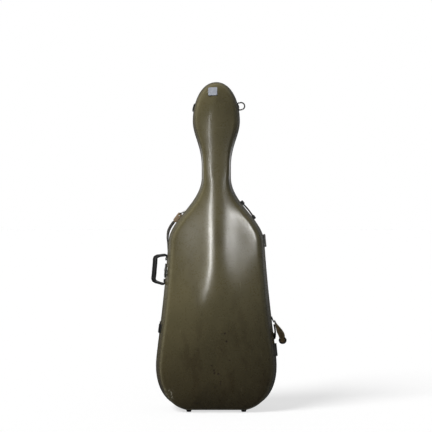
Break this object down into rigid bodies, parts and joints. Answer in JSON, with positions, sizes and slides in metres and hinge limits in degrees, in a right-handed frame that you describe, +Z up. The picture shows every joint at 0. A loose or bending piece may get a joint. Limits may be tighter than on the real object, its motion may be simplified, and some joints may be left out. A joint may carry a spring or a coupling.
{
  "type": "cello hard case",
  "caption": "Hard shell case for a full-size cello, standing closed, with hinged lid, two locks, side handle, carry strap and padded interior.",
  "frame": {"origin": "middle of the box round the whole case, on the floor under its feet", "axes": "+Z up, -Y toward the lid side that the picture shows, +X toward the hinges"},
  "size_m": [0.5636, 0.2912, 1.35],
  "materials": {
    "olive_lacquer": "gloss olive lacquer on fibreglass, scuffed low down",
    "dark_rim": "satin dark edging",
    "black_rubber": "matt black rubber",
    "plush": "short plush over foam, colour guessed",
    "nickel": "worn nickel plate",
    "black_plastic": "satin black moulding",
    "webbing": "dark worn strap",
    "tan_leather": "tan leather, worn"
  },
  "bodies": {
    "case_back": {"back_shell": "olive_lacquer", "back_lining": "plush", "back_rim": "dark_rim", "hinge_leaf_back_upper": "nickel", "hinge_pin_upper": "nickel", "hinge_leaf_back_lower": "nickel", "hinge_pin_lower": "nickel", "lock_case_upper": "nickel", "lock_case_lower": "nickel", "handle_bracket_upper": "nickel", "handle_bracket_lower": "nickel", "head_ring_clip_right": "nickel", "head_ring_clip_left": "nickel", "shoulder_ring_clip": "nickel", "shoulder_ring": "nickel", "hip_ring_clip": "nickel", "hip_ring": "nickel", "carry_strap": "webbing", "strap_tab": "tan_leather", "strap_tail": "tan_leather", "strap_buckle": "black_plastic", "shoulder_handle_block_upper": "black_plastic", "shoulder_handle_block_lower": "black_plastic", "shoulder_handle_strap": "webbing", "back_foot_left": "black_rubber", "back_foot_right": "black_rubber", "corner_buffer_left": "black_rubber", "corner_buffer_right": "black_rubber", "bottom_cushion": "plush", "hip_pad_right": "plush", "hip_pad_left": "plush", "shoulder_pad_right": "plush", "shoulder_pad_left": "plush", "neck_cradle": "plush", "neck_strap": "webbing", "accessory_box": "plush"},
    "case_lid": {"front_shell": "olive_lacquer", "front_lining": "plush", "front_rim": "dark_rim", "rim_seal": "black_rubber", "hinge_leaf_lid_upper": "nickel", "hinge_leaf_lid_lower": "nickel", "hasp_plate_upper": "nickel", "hasp_plate_lower": "nickel", "front_foot_left": "black_rubber", "front_foot_right": "black_rubber", "label_plate": "nickel", "bow_rest_block": "plush", "bow_tip_pocket": "plush"},
    "side_handle": {"side_handle": "black_plastic"},
    "head_ring_left": {"head_ring_left": "nickel"},
    "head_ring_right": {"head_ring_right": "nickel"},
    "hasp_upper": {"hasp_upper": "nickel"},
    "hasp_lower": {"hasp_lower": "nickel"},
    "lock_button_upper": {"lock_button_upper": "nickel"},
    "lock_button_lower": {"lock_button_lower": "nickel"},
    "bow_turn_button_left": {"bow_turn_button_left": "black_plastic"},
    "bow_turn_button_right": {"bow_turn_button_right": "black_plastic"},
    "accessory_box_lid": {"accessory_box_lid": "plush"}
  },
  "joints": [
    {"name": "lid_hinge", "type": "hinge", "parent": "case_back", "child": "case_lid", "pos_m": [0.18995, -0.01047, 0.69795], "axis": [-0.1019, 0, 0.9948], "range_deg": [0, 115]},
    {"name": "hasp_upper_hinge", "type": "hinge", "parent": "case_lid", "child": "hasp_upper", "pos_m": [-0.2222, -0.02597, 0.57239], "axis": [0.0847, 0, 0.9964], "range_deg": [0, 100], "stiffness_Nm_per_rad": 0.02, "springref_deg": -11.46},
    {"name": "lock_button_upper_slide", "type": "slide", "parent": "case_back", "child": "lock_button_upper", "axis": [-0.0847, 0, -0.9964], "range_m": [0, 0.006], "stiffness_N_per_m": 200, "springref_m": -0.003},
    {"name": "hasp_lower_hinge", "type": "hinge", "parent": "case_lid", "child": "hasp_lower", "pos_m": [-0.24645, -0.02597, 0.3386], "axis": [0.1228, 0, 0.9924], "range_deg": [0, 100], "stiffness_Nm_per_rad": 0.02, "springref_deg": -11.46},
    {"name": "lock_button_lower_slide", "type": "slide", "parent": "case_back", "child": "lock_button_lower", "axis": [-0.1228, 0, -0.9924], "range_m": [0, 0.006], "stiffness_N_per_m": 200, "springref_m": -0.003},
    {"name": "side_handle_hinge", "type": "hinge", "parent": "case_back", "child": "side_handle", "pos_m": [-0.22255, 0.04409, 0.57528], "axis": [-0.0847, 0, -0.9964], "range_deg": [-55, 70]},
    {"name": "head_ring_right_hinge", "type": "hinge", "parent": "case_back", "child": "head_ring_right", "pos_m": [0.07949, 0.02185, 1.2527], "axis": [-0.2218, 0, 0.9751], "range_deg": [-80, 80]},
    {"name": "head_ring_left_hinge", "type": "hinge", "parent": "case_back", "child": "head_ring_left", "pos_m": [-0.10254, 0.02185, 1.24975], "axis": [-0.2218, 0, -0.9751], "range_deg": [-156, 4]},
    {"name": "bow_turn_button_left_pivot", "type": "hinge", "parent": "case_lid", "child": "bow_turn_button_left", "pos_m": [-0.07719, -0.10447, 0.4], "axis": [0, -1, 0], "range_deg": [0, 90]},
    {"name": "bow_turn_button_right_pivot", "type": "hinge", "parent": "case_lid", "child": "bow_turn_button_right", "pos_m": [0.05481, -0.10447, 0.4], "axis": [0, 1, 0], "range_deg": [0, 90]},
    {"name": "accessory_box_lid_hinge", "type": "hinge", "parent": "case_back", "child": "accessory_box_lid", "pos_m": [-0.04359, 0.03183, 1.03504], "axis": [0, 0, -1], "range_deg": [0, 95]}
  ]
}
